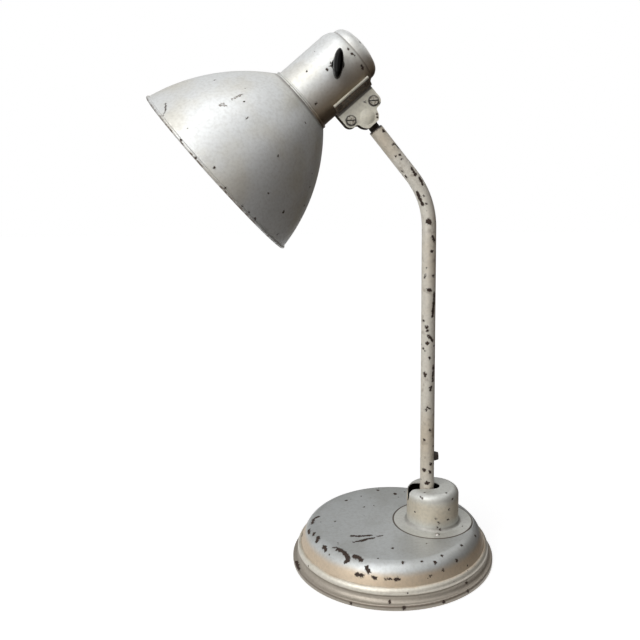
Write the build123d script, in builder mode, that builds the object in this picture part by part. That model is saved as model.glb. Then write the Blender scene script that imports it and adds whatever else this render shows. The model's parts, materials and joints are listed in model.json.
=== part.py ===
"""Metal desk lamp with a stepped round base, a slotted turret hood, a bent stem
and a bell shade on a clamped ball joint.

Millimetres, +Z up. The origin is the middle of the felt's underside. The arm lies
in the XZ plane, with the turret towards +X and the shade towards -X.
"""
import os
from math import asin, cos, degrees, radians, sin, sqrt, tan

from build123d import *

os.makedirs("parts", exist_ok=True)

# Fits and clearances
running_gap = 0.05       # radial, a shaft that turns in its bore
seat_gap = 0.2           # radial, a fixed piece in its seat
joint_gap = 0.1          # between flat faces that slide past each other
free_gap = 0.5           # radial, round a piece that passes through without fitting
thread_end = 1.0         # how far a bolt stands out of its nut
bolt_chamfer = 0.6

# Base: spun shell, bottom plate, felt and iron ballast
base_diameter = 180.0
base_height = 32.0
shell_sheet = 1.2
deck_inset = 22.0        # insets run inwards from the base's edge, drops down from its top
shoulder_crest_inset = 15.2
shoulder_crest_drop = 2.5
shoulder_end_inset = 11.7
shoulder_end_drop = 6.5
waist_inset = 7.7
waist_height = 16.5
bead_inset = 4.4
bead_height = 13.4
cove_inset = 5.1
cove_height = 10.0
cove_floor_inset = 4.2
cove_floor_height = 6.7
lip_height = 5.2
lip_round = 1.4
lip_bottom = 1.0
hem_width = 4.0
felt_thickness = 2.2
plate_thickness = 1.2
ballast_inset = 16.0
ballast_headroom = 1.1     # between the centre bolt and the underside of the turret's seat
ballast_chamfer = 2.0
centre_bolt_radius = 3.0
centre_bolt_head_radius = 5.6
centre_nut_width = 10.0
centre_nut_thickness = 4.0
centre_washer_radius = 9.0
centre_washer_thickness = 1.5

# Turret: hood with a flange, on a plate that swivels in a pressed seat in the deck
turret_inset = 53.4
hood_radius = 23.3
hood_top = 64.0
hood_sheet = 1.2
hood_shoulder = 6.0
hood_foot_blend = 3.0
flange_radius = 35.5
seat_clearance = 0.3
turret_plate_thickness = 1.6
turret_plate_inset = 0.6
swivel_radius = 5.0
swivel_head_thickness = 3.0
swivel_bush_wall = 1.2
swivel_bush_flange = 2.6
swivel_bush_flange_thickness = 1.5
swivel_washer_radius = 9.5
swivel_washer_thickness = 1.2
swivel_nut_width = 16.0
swivel_nut_thickness = 4.5
rivet_circle = 28.6
rivet_shank = 1.5
rivet_head = 2.2
rivet_head_height = 1.3
stop_swing = 90.0
stop_pin_depth = 4.0
stop_slot_gap = 0.3
pocket_margin = 3.0

# Hinge at the foot of the stem
hinge_setback = 5.3
hinge_height = 46.0
hinge_pin_radius = 3.0
hinge_pin_head_radius = 5.0
hinge_pin_head_thickness = 2.0
hinge_nut_width = 9.0
hinge_nut_thickness = 3.2
eye_radius = 7.0
fork_cheek = 2.5
fork_base = 2.0
fork_length = 30.0
friction_washer = 0.6
slot_behind_stem = 5.2
slot_bottom = 51.0

# Stem: one steel tube, bent once
stem_radius = 6.25
stem_wall = 1.25
stem_side_gap = 0.25
tube_foot = 54.5
bend_corner_height = 323.3
bend_radius = 72.0
bend_turn = 38.4
corner_to_ball = 86.9
foot_spigot = 20.0
foot_overlap = 1.0
foot_pin_radius = 1.5
foot_pin_height = 60.0
foot_pin_inset = 0.4
inlet_height = 92.0
inlet_bore = 2.4
inlet_root = 4.2
inlet_tip = 3.3
inlet_reach = 3.6

# Ball joint between the clamp plates
ball_radius = 9.0
ball_gap = 0.2
ball_neck_radius = 4.5
tube_to_ball = 12.2
tube_end_round = 0.8
stud_spigot = 18.0
wire_bore = 2.3
clamp_sheet = 1.8
clamp_half_gap = 7.2
lobe_radius = 9.6
lobe_flat = 8.3          # from the ball's centre to the edge that faces the stem
lobe_corner = 1.0
ear_radius = 6.0
ear_spacing = 25.0
ear_rise = 6.4
wing_front = 17.0
wing_rear = 20.0
wing_span = 41.0
wing_gap = 0.1
clamp_screw_radius = 2.0
clamp_head_radius = 3.8
clamp_head_thickness = 2.0
clamp_head_round = 0.7
clamp_slot_width = 1.0
clamp_slot_depth = 0.9
clamp_slot_turn = -36.0   # from the head axis
clamp_nut_width = 7.0
clamp_nut_thickness = 3.2
wing_rivet_radius = 1.2
wing_rivet_head = 2.2
wing_rivet_head_height = 0.7
wing_rivet_angle = 30.0
straight_below = -90.0    # angle in the sketches square to the head axis
rivet_inset = 4.0
waist_blend = 2.5

# Head: lengths along the head axis run from the rim of the shade
head_angle = 40.7
head_turn = 3.4           # about the ball stud, away from the plane of the arm
ball_along = 126.0
ball_offset = 46.1
shade_rim_radius = 81.7
shade_belly_radius = 66.1
shade_belly_along = 46.0
shade_top_radius = 30.4
shade_length = 91.5
shade_sheet = 0.9
rim_roll = 1.3
collar_radius = 29.6
collar_width = 3.2
collar_spigot = 4.5
neck_radius = 28.0
neck_sheet = 1.2
neck_shoulder = 10.4
neck_end = 150.4
neck_mouth_height = 2.0
cap_radius = 24.2
cap_wall_height = 0.5
cap_corner_radius = 18.1
cap_corner_height = 9.0
cap_height = 12.1
cap_sheet = 1.0
cap_spigot = 6.0

# Lampholder with its ring, bridge and nipple
holder_sleeve_radius = 19.6
holder_body_radius = 23.0
holder_front = 81.0
holder_rear = 122.0
holder_bore = 14.4
holder_floor = 5.0
holder_chamfer = 1.0
ring_radius = 25.5
ring_thickness = 6.0
ring_round = 1.0
screw_shell_radius = 14.1
screw_shell_sheet = 0.4
screw_shell_length = 27.0
contact_radius = 3.5
contact_thickness = 0.8
bridge_sheet = 1.5
bridge_tab = 8.0
bridge_width = 22.0
bridge_turn = 45.0
nipple_radius = 5.0
nipple_bore = 3.4
nipple_depth = 3.0
nipple_nut_width = 14.0
nipple_nut_thickness = 3.0

# Bulb
bulb_radius = 30.0
bulb_length = 105.0
bulb_cap_radius = 13.2
bulb_cap_length = 22.0
bulb_neck_radius = 12.6
bulb_tip_radius = 4.5
bulb_tip_height = 3.0
bulb_tip_taper = 20.0
glass_wall = 0.8
globe_blend_angle = 42.0

# Rotary switch with a wing knob
switch_along = 131.6
spindle_radius = 2.2
switch_body_width = 15.0
switch_body_depth = 11.0
switch_body_corner = 1.5
spindle_floor = 1.0
switch_bush_radius = 3.6
switch_bush_stand = 0.6
switch_nut_radius = 5.2
switch_nut_thickness = 1.6
knob_length = 25.5
knob_width = 9.0
knob_height = 12.5
knob_flank_height = 7.8
knob_flank_inset = 0.5
knob_crown_height = 11.2
knob_crown_inset = 1.4
knob_top_inset = 2.8
knob_base_radius = 5.2
knob_base_height = 2.0
knob_turn = 43.0
spindle_grip = 7.0

# Places worked out from the sizes above
base_radius = base_diameter / 2
plate_top = felt_thickness + plate_thickness
turret_x = base_radius - turret_inset
hinge_x = turret_x - hinge_setback
flange_bottom = base_height - hood_sheet
seat_floor = flange_bottom - turret_plate_thickness
seat_radius = flange_radius + seat_clearance
seat_underside = seat_floor - shell_sheet
bolt_top = seat_underside - ballast_headroom
ballast_top = bolt_top - thread_end - centre_nut_thickness - centre_washer_thickness
turret_axis = Axis((turret_x, 0, 0), (0, 0, 1))
turret_section = Plane(origin=(turret_x, 0, 0), x_dir=(1, 0, 0), z_dir=(0, -1, 0))
fork_top = flange_bottom + fork_base
hinge_half_gap = stem_radius + stem_side_gap
swivel_head_radius = hinge_half_gap - seat_gap
hinge_side = Plane(origin=(hinge_x, 0, hinge_height), x_dir=(1, 0, 0), z_dir=(0, -1, 0))
slot_half_width = stem_radius + free_gap

incline = radians(90 - bend_turn)
incline_direction = Vector(-cos(incline), 0, sin(incline))
bend_corner = Vector(hinge_x, 0, bend_corner_height)
bend_tangent = bend_radius * tan(radians(bend_turn / 2))
ball_centre = bend_corner + incline_direction * corner_to_ball
tube_end = bend_corner + incline_direction * (corner_to_ball - tube_to_ball)
stud_axis = Axis(ball_centre, incline_direction)

head_direction = Vector(cos(radians(head_angle)), 0, sin(radians(head_angle)))
head_outward = Vector(-sin(radians(head_angle)), 0, cos(radians(head_angle)))
rim_centre = ball_centre - head_direction * ball_along + head_outward * ball_offset
head_axis = Axis(rim_centre, head_direction)
head_section = Plane(origin=rim_centre, x_dir=head_outward, z_dir=(0, 1, 0))
clamp_side = Plane(origin=ball_centre, x_dir=head_direction, z_dir=(0, -1, 0))
clamp_outer = clamp_half_gap + clamp_sheet
neck_inner = neck_radius - neck_sheet
wing_inner = neck_radius + wing_gap
wing_outer = wing_inner + clamp_sheet
collar_end = shade_length + collar_width
switch_centre = rim_centre + head_direction * switch_along
switch_out = Plane(origin=switch_centre, x_dir=head_direction, z_dir=(0, -1, 0))


def turret_level(height):
    """Level plane whose origin is on the turret's axis."""
    return Plane(origin=(turret_x, 0, height))


def across(distance):
    """Plane square to the head axis, at a distance from the rim."""
    return Plane(
        origin=rim_centre + head_direction * distance,
        x_dir=(0, 1, 0),
        z_dir=head_direction,
    )


def save(solid, name):
    """Label one finished piece and write its file."""
    solid.label = name
    export_step(solid, f"parts/{name}.step")


def save_turned(solid, name):
    """Turn one piece of the head about the ball stud, then save it."""
    save(solid.rotate(stud_axis, head_turn), name)


# Base shell: one spun profile, then the pressed seat for the turret
stop_path = CenterArc((0, 0), rivet_circle, -90 - stop_swing, 2 * stop_swing)
with BuildPart() as base_shell:
    with BuildSketch(Plane.XZ):
        with BuildLine():
            Line((0, base_height), (base_radius - deck_inset, base_height))
            shoulder = ThreePointArc(
                (base_radius - deck_inset, base_height),
                (base_radius - shoulder_crest_inset, base_height - shoulder_crest_drop),
                (base_radius - shoulder_end_inset, base_height - shoulder_end_drop),
            )
            sweep_in = TangentArc(
                shoulder @ 1,
                (base_radius - waist_inset, waist_height),
                tangent=shoulder % 1,
            )
            ThreePointArc(
                sweep_in @ 1,
                (base_radius - bead_inset, bead_height),
                (base_radius - cove_inset, cove_height),
            )
            ThreePointArc(
                (base_radius - cove_inset, cove_height),
                (base_radius - cove_floor_inset, cove_floor_height),
                (base_radius - lip_round, lip_height),
            )
            RadiusArc(
                (base_radius - lip_round, lip_height),
                (base_radius, lip_height - lip_round),
                lip_round,
            )
            Line((base_radius, lip_height - lip_round), (base_radius, lip_bottom))
            offset(amount=shell_sheet, side=Side.RIGHT)
        make_face()
    revolve(axis=Axis.Z)
    with BuildSketch(Plane.XZ):
        with Locations((base_radius - shell_sheet - hem_width, lip_bottom)):
            Rectangle(hem_width, felt_thickness - lip_bottom, align=(Align.MIN, Align.MIN))
    revolve(axis=Axis.Z)
    with BuildSketch(turret_section):
        with Locations((0, seat_underside)):
            Rectangle(
                seat_radius + shell_sheet,
                base_height - shell_sheet / 2 - seat_underside,
                align=(Align.MIN, Align.MIN),
            )
    revolve(axis=turret_axis)
    with BuildSketch(turret_level(seat_floor)):
        Circle(seat_radius)
    extrude(amount=base_height, mode=Mode.SUBTRACT)
    with BuildSketch(turret_level(seat_underside)):
        Circle(swivel_radius + running_gap + swivel_bush_wall)
        SlotArc(stop_path, 2 * (rivet_shank + stop_slot_gap))
    extrude(amount=shell_sheet, mode=Mode.SUBTRACT)
save(base_shell.part, "base_shell")

# Felt pad, glued under the bottom plate and over the head of the centre bolt
with BuildPart() as felt_pad:
    with BuildSketch(Plane.XY):
        Circle(base_radius - shell_sheet - hem_width - free_gap)
    extrude(amount=felt_thickness)
    with BuildSketch(Plane.XY.offset(lip_bottom)):
        Circle(centre_bolt_head_radius + free_gap)
    extrude(amount=felt_thickness, mode=Mode.SUBTRACT)
save(felt_pad.part, "felt_pad")

# Bottom plate, held by the shell's hem, with a countersink for the centre bolt
with BuildPart() as base_plate:
    with BuildSketch(Plane.XY.offset(felt_thickness)):
        Circle(base_radius - shell_sheet - seat_gap)
        Circle(centre_bolt_radius + seat_gap, mode=Mode.SUBTRACT)
    extrude(amount=plate_thickness)
save(base_plate.part, "base_plate")

# Iron ballast with a pocket for the turret's nut
pocket_radius = swivel_washer_radius + pocket_margin
with BuildPart() as ballast_weight:
    with BuildSketch(Plane.XY.offset(plate_top)):
        Circle(base_radius - ballast_inset)
        Circle(centre_bolt_radius + seat_gap, mode=Mode.SUBTRACT)
    extrude(amount=ballast_top - plate_top)
    chamfer(ballast_weight.edges().filter_by(GeomType.CIRCLE).sort_by(SortBy.RADIUS)[-2:], ballast_chamfer)
    with BuildSketch(turret_level(plate_top)):
        Circle(pocket_radius)
    extrude(amount=ballast_top - plate_top, mode=Mode.SUBTRACT)
save(ballast_weight.part, "ballast_weight")

# Centre bolt with its washer and nut on top of the ballast
with BuildPart() as ballast_bolt:
    with BuildSketch(Plane.XY.offset(lip_bottom)):
        Circle(centre_bolt_head_radius)
    extrude(amount=felt_thickness - lip_bottom)
    with BuildSketch(Plane.XY.offset(felt_thickness)):
        Circle(centre_bolt_radius)
    extrude(amount=bolt_top - felt_thickness)
    chamfer(ballast_bolt.edges().filter_by(GeomType.CIRCLE).sort_by(Axis.Z)[-1], bolt_chamfer)
save(ballast_bolt.part, "ballast_bolt")

with BuildPart() as ballast_washer:
    with BuildSketch(Plane.XY.offset(ballast_top)):
        Circle(centre_washer_radius)
        Circle(centre_bolt_radius + seat_gap, mode=Mode.SUBTRACT)
    extrude(amount=centre_washer_thickness)
save(ballast_washer.part, "ballast_washer")

with BuildPart() as ballast_nut:
    with BuildSketch(Plane.XY.offset(ballast_top + centre_washer_thickness)):
        RegularPolygon(centre_nut_width / 2, 6, major_radius=False)
        Circle(centre_bolt_radius + running_gap, mode=Mode.SUBTRACT)
    extrude(amount=centre_nut_thickness)
save(ballast_nut.part, "ballast_nut")

# Flanged bush in the deck, the bearing of the turret
bush_flange_bottom = seat_underside - swivel_bush_flange_thickness
with BuildPart() as swivel_bush:
    with BuildSketch(turret_section):
        with Locations((swivel_radius + running_gap, seat_underside)):
            Rectangle(swivel_bush_wall, seat_floor - seat_underside, align=(Align.MIN, Align.MIN))
        with Locations((swivel_radius + running_gap, bush_flange_bottom)):
            Rectangle(
                swivel_bush_wall + swivel_bush_flange,
                swivel_bush_flange_thickness,
                align=(Align.MIN, Align.MIN),
            )
    revolve(axis=turret_axis)
save(swivel_bush.part, "swivel_bush")

# Hood: drawn cap and flange in one sheet, with a slot over the top and down the front
slot_round_height = slot_bottom + slot_half_width
slot_back_x = hinge_x + stem_radius + slot_behind_stem - slot_half_width
with BuildPart() as hood:
    with BuildSketch(turret_section):
        with BuildLine():
            FilletPolyline(
                (0, hood_top),
                (hood_radius, hood_top),
                (hood_radius, base_height),
                (flange_radius, base_height),
                radius=(hood_shoulder, hood_foot_blend),
            )
            offset(amount=hood_sheet, side=Side.RIGHT)
        make_face()
    revolve(axis=turret_axis)
    with BuildSketch(Plane.XY.offset(slot_round_height)):
        with Locations((slot_back_x, 0)):
            Rectangle(2 * hood_radius, 2 * slot_half_width, align=(Align.MAX, Align.CENTER))
            Circle(slot_half_width)
    extrude(amount=hood_top, mode=Mode.SUBTRACT)
    with BuildSketch(Plane.YZ.offset(hinge_x)):
        with Locations((0, slot_round_height)):
            Circle(slot_half_width)
    extrude(amount=-2 * hood_radius, mode=Mode.SUBTRACT)
    with BuildSketch(turret_level(flange_bottom)):
        with PolarLocations(rivet_circle, 2, start_angle=-90):
            Circle(rivet_shank + running_gap)
    extrude(amount=hood_sheet, mode=Mode.SUBTRACT)
save(hood.part, "hood")

# Turret plate: turns in the deck's seat and carries hood and hinge fork
with BuildPart() as turret_plate:
    with BuildSketch(turret_level(seat_floor)):
        Circle(flange_radius - turret_plate_inset)
        Circle(swivel_radius + seat_gap, mode=Mode.SUBTRACT)
        with PolarLocations(rivet_circle, 2, start_angle=-90):
            Circle(rivet_shank + running_gap, mode=Mode.SUBTRACT)
    extrude(amount=turret_plate_thickness)
save(turret_plate.part, "turret_plate")


def flange_rivet(angle, shank_bottom):
    """Round-headed rivet through the hood's flange and the turret plate."""
    place = Plane(
        origin=(
            turret_x + rivet_circle * cos(radians(angle)),
            rivet_circle * sin(radians(angle)),
            base_height,
        ),
        x_dir=(1, 0, 0),
        z_dir=(0, -1, 0),
    )
    with BuildPart() as rivet:
        with BuildSketch(place):
            with BuildLine():
                TangentArc((0, rivet_head_height), (rivet_head, 0), tangent=(1, 0))
                Polyline(
                    (rivet_head, 0),
                    (rivet_shank, 0),
                    (rivet_shank, shank_bottom - base_height),
                    (0, shank_bottom - base_height),
                    (0, rivet_head_height),
                )
            make_face()
        revolve(axis=Axis(place.origin, (0, 0, 1)))
    return rivet.part


# The front rivet is longer and runs in the deck's slot, where it stops the swivel
save(flange_rivet(-90, seat_floor - stop_pin_depth), "stop_pin")
save(flange_rivet(90, seat_floor), "hood_rivet")

# Swivel bolt, spring washer and nut under the deck
washer_top = bush_flange_bottom - joint_gap
washer_bottom = washer_top - swivel_washer_thickness
swivel_end = washer_bottom - swivel_nut_thickness - thread_end
with BuildPart() as swivel_bolt:
    with BuildSketch(turret_level(fork_top)):
        Circle(swivel_head_radius)
    extrude(amount=swivel_head_thickness)
    with BuildSketch(turret_level(swivel_end)):
        Circle(swivel_radius)
    extrude(amount=fork_top - swivel_end)
    chamfer(swivel_bolt.edges().filter_by(GeomType.CIRCLE).sort_by(Axis.Z)[0], bolt_chamfer)
    chamfer(swivel_bolt.edges().filter_by(GeomType.CIRCLE).sort_by(Axis.Z)[-1], bolt_chamfer)
save(swivel_bolt.part, "swivel_bolt")

with BuildPart() as swivel_washer:
    with BuildSketch(turret_level(washer_bottom)):
        Circle(swivel_washer_radius)
        Circle(swivel_radius + seat_gap, mode=Mode.SUBTRACT)
    extrude(amount=swivel_washer_thickness)
save(swivel_washer.part, "swivel_washer")

with BuildPart() as swivel_nut:
    with BuildSketch(turret_level(washer_bottom - swivel_nut_thickness)):
        RegularPolygon(swivel_nut_width / 2, 6, major_radius=False)
        Circle(swivel_radius + running_gap, mode=Mode.SUBTRACT)
    extrude(amount=swivel_nut_thickness)
save(swivel_nut.part, "swivel_nut")

# Hinge fork: a strip under the swivel bolt's head with two round-ended cheeks
cheek_outer = hinge_half_gap + fork_cheek
with BuildPart() as hinge_fork:
    with BuildSketch(Plane.XY.offset(flange_bottom)):
        with Locations((hinge_x - eye_radius, 0)):
            Rectangle(fork_length, 2 * cheek_outer, align=(Align.MIN, Align.CENTER))
        with Locations((turret_x, 0)):
            Circle(swivel_radius + seat_gap, mode=Mode.SUBTRACT)
    extrude(amount=fork_base)
    with BuildSketch(hinge_side.offset(hinge_half_gap), hinge_side.offset(-cheek_outer)):
        Circle(eye_radius)
        Rectangle(
            2 * eye_radius,
            hinge_height - flange_bottom,
            align=(Align.CENTER, Align.MAX),
        )
        Circle(hinge_pin_radius + running_gap, mode=Mode.SUBTRACT)
    extrude(amount=fork_cheek)
save(hinge_fork.part, "hinge_fork")

# Hinge pin with its nut, and a friction washer on each side of the eye
eye_half_width = hinge_half_gap - friction_washer - 2 * joint_gap
pin_end = cheek_outer + hinge_nut_thickness + thread_end
with BuildPart() as hinge_pin:
    with BuildSketch(hinge_side.offset(cheek_outer)):
        Circle(hinge_pin_head_radius)
    extrude(amount=hinge_pin_head_thickness)
    with BuildSketch(hinge_side.offset(-pin_end)):
        Circle(hinge_pin_radius)
    extrude(amount=pin_end + cheek_outer)
save(hinge_pin.part, "hinge_pin")

with BuildPart() as hinge_nut:
    with BuildSketch(hinge_side.offset(-cheek_outer - hinge_nut_thickness)):
        RegularPolygon(hinge_nut_width / 2, 6, major_radius=False)
        Circle(hinge_pin_radius + running_gap, mode=Mode.SUBTRACT)
    extrude(amount=hinge_nut_thickness)
save(hinge_nut.part, "hinge_nut")

washer_start = eye_half_width + joint_gap
with BuildPart() as friction_washers:
    with BuildSketch(
        hinge_side.offset(washer_start),
        hinge_side.offset(-washer_start - friction_washer),
    ):
        Circle(eye_radius)
        Circle(hinge_pin_radius + running_gap, mode=Mode.SUBTRACT)
    extrude(amount=friction_washer)
save(friction_washers.part, "friction_washers")

# Stem tube: swept along a straight run, one bend and the incline to the ball
inlet_side = Plane(origin=(hinge_x, 0, inlet_height), x_dir=(0, 1, 0), z_dir=(1, 0, 0))
foot_pin_side = Plane(origin=(hinge_x, 0, foot_pin_height), x_dir=(1, 0, 0), z_dir=(0, -1, 0))
bend_start = bend_corner - Vector(0, 0, bend_tangent)
bend_end = bend_corner + incline_direction * bend_tangent
with BuildPart() as stem_tube:
    with BuildLine():
        Line((hinge_x, 0, tube_foot), bend_start)
        TangentArc(bend_start, bend_end, tangent=(0, 0, 1))
        Line(bend_end, tube_end)
    with BuildSketch(Plane.XY.offset(tube_foot)):
        with Locations((hinge_x, 0)):
            Circle(stem_radius)
            Circle(stem_radius - stem_wall, mode=Mode.SUBTRACT)
    sweep()
    upper_end = stem_tube.faces().filter_by(GeomType.PLANE).sort_by(Axis.Z)[-1]
    fillet(upper_end.outer_wire().edges(), tube_end_round)
    with BuildSketch(inlet_side):
        Circle(inlet_tip)
    extrude(amount=stem_radius + free_gap, mode=Mode.SUBTRACT)
    with BuildSketch(foot_pin_side):
        Circle(foot_pin_radius + running_gap)
    extrude(amount=stem_radius, both=True, mode=Mode.SUBTRACT)
save(stem_tube.part, "stem_tube")

# Foot of the stem: an eye on the hinge pin and a spigot pinned in the tube
with BuildPart() as stem_foot:
    with BuildSketch(hinge_side.offset(-eye_half_width)):
        Circle(eye_radius)
        Rectangle(
            2 * (stem_radius - stem_wall),
            tube_foot - hinge_height,
            align=(Align.CENTER, Align.MIN),
        )
        Circle(hinge_pin_radius + running_gap, mode=Mode.SUBTRACT)
    extrude(amount=2 * eye_half_width)
    with BuildSketch(Plane.XY.offset(hinge_height + eye_radius - foot_overlap)):
        with Locations((hinge_x, 0)):
            Circle(stem_radius - stem_wall / 2)
    extrude(amount=tube_foot - hinge_height - eye_radius + foot_overlap)
    with BuildSketch(Plane.XY.offset(tube_foot)):
        with Locations((hinge_x, 0)):
            Circle(stem_radius - stem_wall - seat_gap / 2)
    extrude(amount=foot_spigot)
    with BuildSketch(foot_pin_side):
        Circle(foot_pin_radius + running_gap)
    extrude(amount=stem_radius, both=True, mode=Mode.SUBTRACT)
save(stem_foot.part, "stem_foot")

with BuildPart() as foot_pin:
    with BuildSketch(foot_pin_side):
        Circle(foot_pin_radius)
    extrude(amount=stem_radius - foot_pin_inset, both=True)
save(foot_pin.part, "foot_pin")

# Tapered bush in the back of the stem, where the cord enters
inlet_section = Plane(origin=(hinge_x, 0, inlet_height), x_dir=(1, 0, 0), z_dir=(0, -1, 0))
with BuildPart() as cord_inlet_bush:
    with BuildSketch(inlet_section):
        with BuildLine():
            Polyline(
                (stem_radius - stem_wall, inlet_bore),
                (stem_radius + inlet_reach, inlet_bore),
                (stem_radius + inlet_reach, inlet_tip),
                (stem_radius + seat_gap, inlet_root),
                (stem_radius + seat_gap, inlet_tip - running_gap),
                (stem_radius - stem_wall, inlet_tip - running_gap),
                close=True,
            )
        make_face()
    revolve(axis=Axis((hinge_x, 0, inlet_height), (1, 0, 0)))
save(cord_inlet_bush.part, "cord_inlet_bush")

# Ball stud: the ball, its neck and a spigot that turns in the stem's end
stud_end = Plane(origin=ball_centre, x_dir=(0, 1, 0), z_dir=-incline_direction)
with BuildPart() as ball_stud:
    with BuildSketch(Plane(origin=ball_centre, x_dir=incline_direction, z_dir=(0, 1, 0))):
        Circle(ball_radius)
        Rectangle(3 * ball_radius, ball_radius, align=(Align.CENTER, Align.MIN), mode=Mode.INTERSECT)
    revolve(axis=stud_axis)
    with BuildSketch(stud_end):
        Circle(ball_neck_radius)
    extrude(amount=tube_to_ball - joint_gap)
    with BuildSketch(stud_end.offset(tube_to_ball - joint_gap)):
        Circle(stem_radius - stem_wall - running_gap)
    extrude(amount=stud_spigot)
    with BuildSketch(stud_end.offset(-ball_radius)):
        Circle(wire_bore)
    extrude(amount=ball_radius + tube_to_ball + stud_spigot, mode=Mode.SUBTRACT)
save(ball_stud.part, "ball_stud")

# Clamp plate: lobed plate with a domed seat for the ball and a wing curved to the neck
screw_places = ((-ear_spacing / 2, ear_rise), (ear_spacing / 2, ear_rise))
wing_rivet_alongs = (ball_along - wing_front + rivet_inset, ball_along + wing_rear - rivet_inset)
wing_start = degrees(asin(clamp_half_gap / wing_inner))
wing_foot = ball_offset - wing_inner * cos(radians(wing_start))
seat_sphere = ball_radius + ball_gap
dome_sphere = seat_sphere + clamp_sheet
clamp_axis = Axis(ball_centre, (0, -1, 0))
dome_section = Plane(origin=ball_centre, x_dir=head_direction, z_dir=-head_outward)


def wing_rivet_plane(along, angle):
    """Plane on the head axis that faces a wing rivet, angle measured from straight below."""
    outward = Vector(0, -1, 0) * sin(radians(angle)) - head_outward * cos(radians(angle))
    return Plane(origin=rim_centre + head_direction * along, x_dir=head_direction, z_dir=outward)


with BuildPart() as clamp_plate_front:
    with BuildSketch(clamp_side.offset(clamp_half_gap)) as clamp_outline:
        with Locations(Location((0, 0, 0), (0, 0, 90))):
            Circle(lobe_radius)
        with Locations(*screw_places):
            Circle(ear_radius)
        with Locations((0, ear_rise)):
            Rectangle(
                ear_spacing + 2 * ear_radius,
                wing_foot - ear_rise,
                align=(Align.CENTER, Align.MIN),
            )
        fillet(clamp_outline.vertices().sort_by(Axis.Y)[:2], waist_blend)
        with Locations((0, -lobe_flat)):
            Rectangle(
                2 * lobe_radius,
                lobe_radius,
                align=(Align.CENTER, Align.MAX),
                mode=Mode.SUBTRACT,
            )
        fillet(clamp_outline.vertices().sort_by(Axis.Y)[:2], lobe_corner)
        with Locations(*screw_places):
            Circle(clamp_screw_radius + seat_gap, mode=Mode.SUBTRACT)
    extrude(amount=clamp_sheet)
    with BuildSketch(across(ball_along - wing_front)):
        with BuildLine():
            outer_arc = CenterArc((0, 0), wing_outer, straight_below - wing_span, wing_span - wing_start)
            inner_arc = CenterArc((0, 0), wing_inner, straight_below - wing_span, wing_span - wing_start)
            Line(outer_arc @ 0, inner_arc @ 0)
            Line(outer_arc @ 1, inner_arc @ 1)
        make_face()
    extrude(amount=wing_front + wing_rear)
    with BuildSketch(dome_section):
        Circle(dome_sphere)
        with Locations((0, clamp_half_gap)):
            Rectangle(dome_sphere, dome_sphere, align=(Align.MIN, Align.MIN), mode=Mode.INTERSECT)
    revolve(axis=clamp_axis)
    with Locations(ball_centre):
        Sphere(seat_sphere, mode=Mode.SUBTRACT)
    for along in wing_rivet_alongs:
        with BuildSketch(wing_rivet_plane(along, wing_rivet_angle).offset(neck_inner)):
            Circle(wing_rivet_radius + running_gap)
        extrude(amount=wing_outer, mode=Mode.SUBTRACT)
save_turned(clamp_plate_front.part, "clamp_plate_front")

with BuildPart() as clamp_plate_back:
    mirror(clamp_plate_front.part, about=Plane.XZ)
save_turned(clamp_plate_back.part, "clamp_plate_back")

# Slotted clamp screws in front, nuts behind
screw_end = clamp_outer + clamp_nut_thickness + thread_end
with BuildPart() as clamp_screws:
    with BuildSketch(clamp_side.offset(clamp_outer)):
        with Locations(*screw_places):
            Circle(clamp_head_radius)
    extrude(amount=clamp_head_thickness)
    fillet(
        clamp_screws.faces().filter_by(Plane.XZ).sort_by(Axis.Y)[:2].edges(),
        clamp_head_round,
    )
    with BuildSketch(clamp_side.offset(clamp_outer + clamp_head_thickness - clamp_slot_depth)):
        with Locations(*screw_places):
            Rectangle(2 * clamp_head_radius, clamp_slot_width, rotation=clamp_slot_turn)
    extrude(amount=clamp_slot_depth, mode=Mode.SUBTRACT)
    with BuildSketch(clamp_side.offset(-screw_end)):
        with Locations(*screw_places):
            Circle(clamp_screw_radius)
    extrude(amount=screw_end + clamp_outer)
save_turned(clamp_screws.part, "clamp_screws")

with BuildPart() as clamp_nuts:
    with BuildSketch(clamp_side.offset(-clamp_outer - clamp_nut_thickness)):
        with Locations(*screw_places):
            RegularPolygon(clamp_nut_width / 2, 6, major_radius=False)
            Circle(clamp_screw_radius + running_gap, mode=Mode.SUBTRACT)
    extrude(amount=clamp_nut_thickness)
save_turned(clamp_nuts.part, "clamp_nuts")

# Rivets through wings and neck, two on each side
with BuildPart() as wing_rivets:
    for along in wing_rivet_alongs:
        for angle in (-wing_rivet_angle, wing_rivet_angle):
            place = wing_rivet_plane(along, angle)
            with BuildSketch(place.offset(wing_outer)):
                Circle(wing_rivet_head)
            extrude(amount=wing_rivet_head_height)
            with BuildSketch(place.offset(neck_inner - wing_rivet_head_height)):
                Circle(wing_rivet_radius)
            extrude(amount=wing_outer - neck_inner + wing_rivet_head_height)
save_turned(wing_rivets.part, "wing_rivets")

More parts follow.
